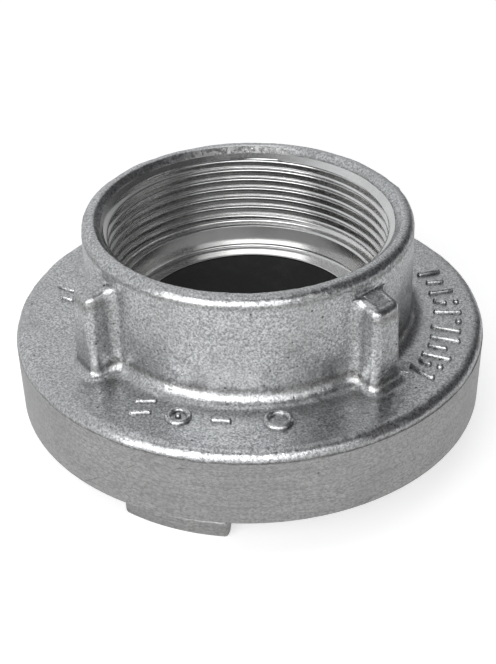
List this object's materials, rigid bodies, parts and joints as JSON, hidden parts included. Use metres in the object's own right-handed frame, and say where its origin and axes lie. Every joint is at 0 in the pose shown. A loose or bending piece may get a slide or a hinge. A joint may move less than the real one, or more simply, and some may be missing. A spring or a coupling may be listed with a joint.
{
  "type": "quarter turn fire hose coupling",
  "caption": "Fixed half of a lugged quarter-turn hose coupling: flanged aluminium casting with a pipe-threaded collar, wrench ribs and a rubber face seal.",
  "frame": {"origin": "on the coupling's axis, at the level of the two lug ends that the part stands on", "axes": "+Z along the axis from the lugs to the threaded collar, the lugs on -Y and +Y"},
  "size_m": [0.098, 0.098, 0.0487],
  "materials": {
    "cast_aluminium": "die-cast skin with turned side, bore and thread",
    "black_rubber": "matt moulded rubber"
  },
  "bodies": {
    "root": {"coupling_body": "cast_aluminium", "face_seal": "black_rubber"}
  },
  "joints": []
}
